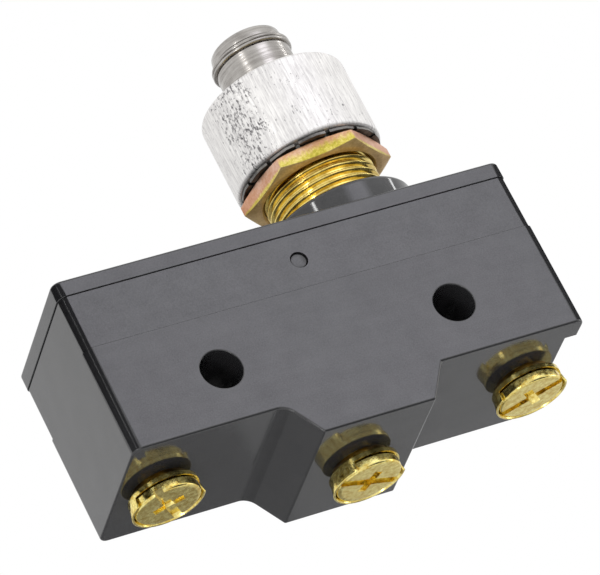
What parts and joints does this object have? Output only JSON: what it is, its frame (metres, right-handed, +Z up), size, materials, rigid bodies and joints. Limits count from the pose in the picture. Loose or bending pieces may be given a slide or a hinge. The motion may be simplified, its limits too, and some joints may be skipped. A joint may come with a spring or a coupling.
{
  "type": "limit switch",
  "caption": "Snap-action limit switch: moulded black case with mounting holes, screw terminals below, and a spring plunger in a threaded panel bushing with its nuts.",
  "frame": {"origin": "midway between the two mounting holes, at the middle of the case's depth", "axes": "+X along the case towards the plunger's end, +Y from the front face to the back face along the mounting holes, +Z up along the plunger towards its tip"},
  "size_m": [0.0492, 0.0174, 0.0506],
  "materials": {
    "phenolic": "satin black moulding, slightly glossy",
    "brass": "bright machined brass",
    "screw_brass": "bright brass plating",
    "gold_zinc": "yellow zinc with a faint pink and green tint",
    "steel": "turned steel with fine rings",
    "dark_steel": "dark spring steel",
    "aluminium": "bright aluminium, speckled, with axial scratches",
    "silver": "silver contact alloy",
    "spring_bronze": "spring bronze strip",
    "spring_steel": "drawn spring wire"
  },
  "bodies": {
    "housing": {"base_case": "phenolic", "top_cover": "phenolic", "cover_pins": "phenolic", "threaded_bushing": "brass", "common_terminal": "brass", "closed_terminal": "brass", "open_terminal": "brass", "closed_contact": "silver", "open_contact": "silver", "blade_anchor": "brass", "anchor_rivet": "brass", "return_spring": "spring_steel"},
    "plunger": {"plunger_stem": "steel", "plunger_cap": "steel", "piston_retainer": "steel"},
    "pin": {"overtravel_piston": "steel", "pin_plunger": "phenolic", "overtravel_spring": "spring_steel"},
    "blade": {"snap_blade": "spring_bronze", "moving_contact": "silver"},
    "washer_ring": {"lock_washer": "dark_steel"},
    "jam_nut": {"hex_nut": "gold_zinc"},
    "collar": {"collar_nut": "aluminium"},
    "common_washer_body": {"common_washer": "screw_brass"},
    "common_screw_body": {"common_screw": "screw_brass"},
    "closed_washer_body": {"closed_washer": "screw_brass"},
    "closed_screw_body": {"closed_screw": "screw_brass"},
    "open_washer_body": {"open_washer": "screw_brass"},
    "open_screw_body": {"open_screw": "screw_brass"}
  },
  "joints": [
    {"name": "plunger_press", "type": "slide", "parent": "housing", "child": "plunger", "axis": [0, 0, -1], "range_m": [0, 0.0045], "stiffness_N_per_m": 800, "springref_m": -0.003, "deforming": ["return_spring", "overtravel_spring"]},
    {"name": "pin_travel", "type": "slide", "parent": "housing", "child": "pin", "axis": [0, 0, -1], "range_m": [0, 0.00045]},
    {"name": "blade_snap", "type": "hinge", "parent": "housing", "child": "blade", "pos_m": [-0.0083, 0, 0.0063], "axis": [0, 1, 0], "range_deg": [0, 1.4]},
    {"name": "lock_washer_travel", "type": "slide", "parent": "housing", "child": "washer_ring", "axis": [0, 0, -1], "range_m": [0, 0.0038]},
    {"name": "hex_nut_turn", "type": "hinge", "parent": "washer_ring", "child": "jam_nut", "pos_m": [0.01, 0, 0.0215], "axis": [0, 0, -1], "range_deg": [0, 1750]},
    {"name": "collar_nut_turn", "type": "hinge", "parent": "housing", "child": "collar", "pos_m": [0.01, 0, 0.0275], "axis": [0, 0, 1], "continuous": true},
    {"name": "common_washer_drop", "type": "slide", "parent": "housing", "child": "common_washer_body", "axis": [0, 0, -1], "range_m": [-0.00065, 0.0013]},
    {"name": "common_screw_turn", "type": "hinge", "parent": "common_washer_body", "child": "common_screw_body", "pos_m": [-0.02, 0, -0.0072], "axis": [0, 0, -1], "range_deg": [-310, 610]},
    {"name": "closed_washer_drop", "type": "slide", "parent": "housing", "child": "closed_washer_body", "axis": [0, 0, -1], "range_m": [-0.00065, 0.0013]},
    {"name": "closed_screw_turn", "type": "hinge", "parent": "closed_washer_body", "child": "closed_screw_body", "pos_m": [0, 0, -0.0109], "axis": [0, 0, -1], "range_deg": [-310, 610]},
    {"name": "open_washer_drop", "type": "slide", "parent": "housing", "child": "open_washer_body", "axis": [0, 0, -1], "range_m": [-0.00065, 0.0013]},
    {"name": "open_screw_turn", "type": "hinge", "parent": "open_washer_body", "child": "open_screw_body", "pos_m": [0.02, 0, -0.0072], "axis": [0, 0, -1], "range_deg": [-310, 610]}
  ],
  "couplings": [
    {"joint": "pin_travel", "follows": "plunger_press", "ratio": 0.0889},
    {"joint": "blade_snap", "follows": "plunger_press", "rad_per_m": 5.042},
    {"joint": "hex_nut_turn", "follows": "lock_washer_travel", "rad_per_m": 7913.3},
    {"joint": "common_screw_turn", "follows": "common_washer_drop", "rad_per_m": 7913.3},
    {"joint": "closed_screw_turn", "follows": "closed_washer_drop", "rad_per_m": 7913.3},
    {"joint": "open_screw_turn", "follows": "open_washer_drop", "rad_per_m": 7913.3}
  ]
}
